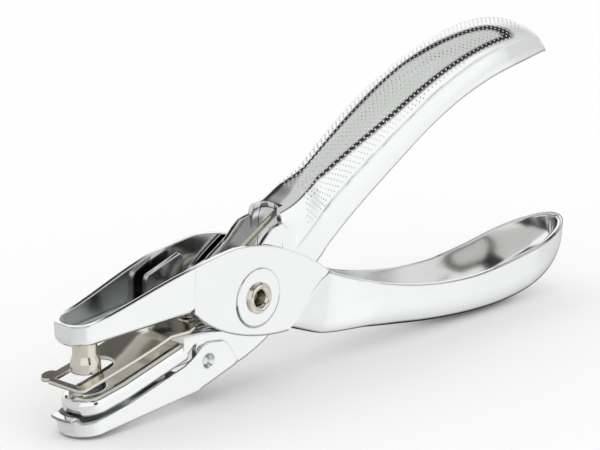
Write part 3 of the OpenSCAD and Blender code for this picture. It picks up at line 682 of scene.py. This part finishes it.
def grip_swell(x, z):
    height = GRIP_H * smooth((UPPER_LEN - x) / GRIP_FADE) * smooth((x - GRIP_FROM) / GRIP_RISE)
    return height * smooth((z - mid_height(x)) / CREASE_W)


def upper_section(x):
    crown = upper_crown(x) - eased(x, *SUNK_FRONT) - eased(x, *SUNK_PALM)
    return arch(upper_half(x), upper_edge(x), crown, upper_box(x), lambda z: grip_swell(x, z))


outer = [(x, upper_section(x)) for x in stations(UPPER_CUT, UPPER_ROUND, UPPER_LEN)]
inner = [(x, arch(upper_half(x + SHEET / 2) - SHEET, upper_edge(x), upper_crown(x) - SHEET, upper_box(x)))
         for x in stations(UPPER_CUT, UPPER_ROUND - SHEET / 2, UPPER_LEN - SHEET)]
settle(loft("upper_handle", outer, inner), chrome, "die_lever", "chrome", "die_lever")

# %% [markdown]
# The grip is covered with a diamond grid of small raised dots, pressed in with the handle. Python works
# out where each dot sits and which way the surface faces there, row by row along the crown. Each seat
# also gets a share of the full height. It fades toward both sides, where full dots would stand out of
# the outline like a comb, and toward the tip, where the dots show less.

# %% Seats of the grip's dots
DOT_STEP, DOT_ACROSS, NUDGE, CREASE_CLEAR = 0.62, 1.24, 0.2, 1.5
DOTS_FROM, DOTS_TO, DOTS_HALF = 15, 78, 10
FAR_FADE, NEAR_FADE, TIP_FADE = (0.8, 1.5, 2.5), (0.5, 3.5, 3), (0.6, 35, 30)


def on_section(x, section, w):
    middle = len(section) // 2
    k = middle + w / math.dist(section[middle], section[middle + 1])
    i = min(max(int(k), 0), len(section) - 2)
    (y0, z0), (y1, z1) = section[i], section[i + 1]
    return Vector((x, y0 + (y1 - y0) * (k - i), z0 + (z1 - z0) * (k - i)))


seats, facing, shares = [], [], []
x, row = DOTS_FROM, 0
count = int(DOTS_HALF / DOT_ACROSS)
while x < DOTS_TO:
    behind, here, before = ((v, upper_section(v)) for v in (x - NUDGE, x, x + NUDGE))
    for j in range(-count, count + 1):
        w = (j + 0.5 * (row % 2)) * DOT_ACROSS
        spot = on_section(*here, w)
        if spot.z < mid_height(x) + CREASE_CLEAR:
            continue
        ahead = on_section(*before, w) - on_section(*behind, w)
        aside = on_section(*here, w + NUDGE) - on_section(*here, w - NUDGE)
        seats.append(place(*spot))
        facing.append((place(*ahead.cross(aside)) - place(0, 0, 0)).normalized())
        fade = eased(w, *FAR_FADE) if w > 0 else eased(-w, *NEAR_FADE)
        shares.append((1 - eased(x, *TIP_FADE)) * (1 - fade))
    slope = (upper_crown(x + NUDGE / 2) - upper_crown(x - NUDGE / 2)) / NUDGE
    x += DOT_STEP / math.hypot(1, slope)
    row += 1
seat_mesh = bpy.data.meshes.new("grip_dots")
seat_mesh.from_pydata(seats, [], [])
seat_mesh.attributes.new("facing", "FLOAT_VECTOR", "POINT").data.foreach_set(
    "vector", [c for n in facing for c in n])
seat_mesh.attributes.new("share", "FLOAT", "POINT").data.foreach_set("value", shares)
dots = bpy.data.objects.new("grip_dots", seat_mesh)
scene.collection.objects.link(dots)
print("seats for dots:", len(seats))

# %% [markdown]
# Geometry Nodes puts one small blunt stud on every seat, turned to face outward, so that the size of all
# the dots is two numbers. Copying a stud by hand 1500 times would give the same mesh, but no dials.

# %% Dots by Geometry Nodes
DOT_WIDTH, DOT_HEIGHT = 0.42, 0.15
STUD = {"Vertices": 8, "Side Segments": 1, "Radius Top": 0.12, "Radius Bottom": 0.5, "Depth": 1}
grip_tree = bpy.data.node_groups.new("dots on seats", "GeometryNodeTree")
sockets = {"Seats": "NodeSocketGeometry", "Dot width": "NodeSocketFloat", "Dot height": "NodeSocketFloat"}
inputs = {name: grip_tree.interface.new_socket(name, in_out="INPUT", socket_type=kind).identifier
          for name, kind in sockets.items()}
grip_tree.interface.new_socket("Dots", in_out="OUTPUT", socket_type="NodeSocketGeometry")
given = add(grip_tree, "NodeGroupInput").outputs
stud = add(grip_tree, "GeometryNodeMeshCone", STUD)
normal = add(grip_tree, "GeometryNodeInputNamedAttribute", {"data_type": "FLOAT_VECTOR", "Name": "facing"})
turned = add(grip_tree, "FunctionNodeAlignRotationToVector", {"axis": "Z"},
             {"Vector": normal.outputs["Attribute"]})
share = add(grip_tree, "GeometryNodeInputNamedAttribute", {"data_type": "FLOAT", "Name": "share"})
tall = add(grip_tree, "ShaderNodeMath", {"operation": "MULTIPLY"},
           {0: given["Dot height"], 1: share.outputs["Attribute"]})
size = add(grip_tree, "ShaderNodeCombineXYZ", {}, {"X": given["Dot width"], "Y": given["Dot width"],
                                                   "Z": tall.outputs["Value"]})
placed = add(grip_tree, "GeometryNodeInstanceOnPoints", {}, {
    "Points": given["Seats"], "Instance": stud.outputs["Mesh"], "Rotation": turned.outputs["Rotation"],
    "Scale": size.outputs["Vector"]})
real = add(grip_tree, "GeometryNodeRealizeInstances", {}, {"Geometry": placed.outputs["Instances"]})
plate = add(grip_tree, "GeometryNodeSetMaterial", {"Material": domes},
            {"Geometry": real.outputs["Geometry"]})
add(grip_tree, "NodeGroupOutput", {}, {"Dots": plate.outputs["Geometry"]})

modifier = dots.modifiers.new("dots", "NODES")
modifier.node_group = grip_tree
modifier[inputs["Dot width"]] = DOT_WIDTH * MM
modifier[inputs["Dot height"]] = DOT_HEIGHT * MM
whole = bpy.data.meshes.new_from_object(dots.evaluated_get(bpy.context.evaluated_depsgraph_get()))
dots.modifiers.remove(modifier)
dots.data = whole
settle(dots, domes, "die_lever", "chrome")

# %% [markdown]
# The return spring is one length of round wire: a coil of a little over two turns round the rivet, and a
# straight leg under each handle. It is swept as a tube along its path.

# %% Path of the return spring
WIRE_R, COIL_R, COIL_PITCH, REST_GAP = 0.625, 4.1, 1.8, 0.25
LEG_UP_X, LEG_LOW_X, LEG_UP_ROOM, LEG_LOW_ROOM = 18, 27, 1.5, 1.2
FULL_TURNS, COIL_STEPS, LEG_STEPS = 3, 120, 12


def leg_angle(x, z, way):
    return math.atan2(z, x) + way * math.acos(COIL_R / math.hypot(x, z))


leg_up = (LEG_UP_X, upper_crown(LEG_UP_X) - SHEET - LEG_UP_ROOM * WIRE_R - REST_GAP)
leg_low = (LEG_LOW_X, lower_floor(LEG_LOW_X) + SHEET + LEG_LOW_ROOM * WIRE_R + REST_GAP)
coil_from, coil_to = leg_angle(*leg_up, 1), leg_angle(*leg_low, -1) + FULL_TURNS * math.tau
coil_half = COIL_PITCH * (coil_to - coil_from) / (2 * math.tau)
coil = []
for i in range(COIL_STEPS + 1):
    t = i / COIL_STEPS
    a = coil_from + (coil_to - coil_from) * t
    coil.append(Vector((COIL_R * math.cos(a), coil_half * (1 - 2 * t), COIL_R * math.sin(a))))
ends = Vector((leg_up[0], 0, leg_up[1])), Vector((leg_low[0], 0, leg_low[1]))
path = ([ends[0].lerp(coil[0], i / LEG_STEPS) for i in range(LEG_STEPS)] + coil
        + [coil[-1].lerp(ends[1], i / LEG_STEPS) for i in range(1, LEG_STEPS + 1)])
print("coil of", round((coil_to - coil_from) / math.tau, 2), "turns, wire",
      round(sum((b - a).length for a, b in zip(path, path[1:])), 1), "mm long")

# %% [markdown]
# A ring of points is set square to the path at every step, and the rings are joined to a tube.

# %% Return spring
WIRE_SIDES = 12
bm = bmesh.new()
rings = []
for i, p in enumerate(path):
    heading = (path[min(i + 1, len(path) - 1)] - path[max(i - 1, 0)]).normalized()
    u = heading.cross(Vector((0, 1, 0))).normalized()
    v = heading.cross(u)
    rings.append([bm.verts.new(place(*(p + WIRE_R * (math.cos(a) * u + math.sin(a) * v))))
                  for a in (math.tau * k / WIRE_SIDES for k in range(WIRE_SIDES))])
tube(bm, rings)
wire = piece_from(bm, "spring_wire")
wire.data.materials.append(nickel)
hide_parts("return_spring")
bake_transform(wire)
print(wire.name, len(wire.data.polygons), "faces")
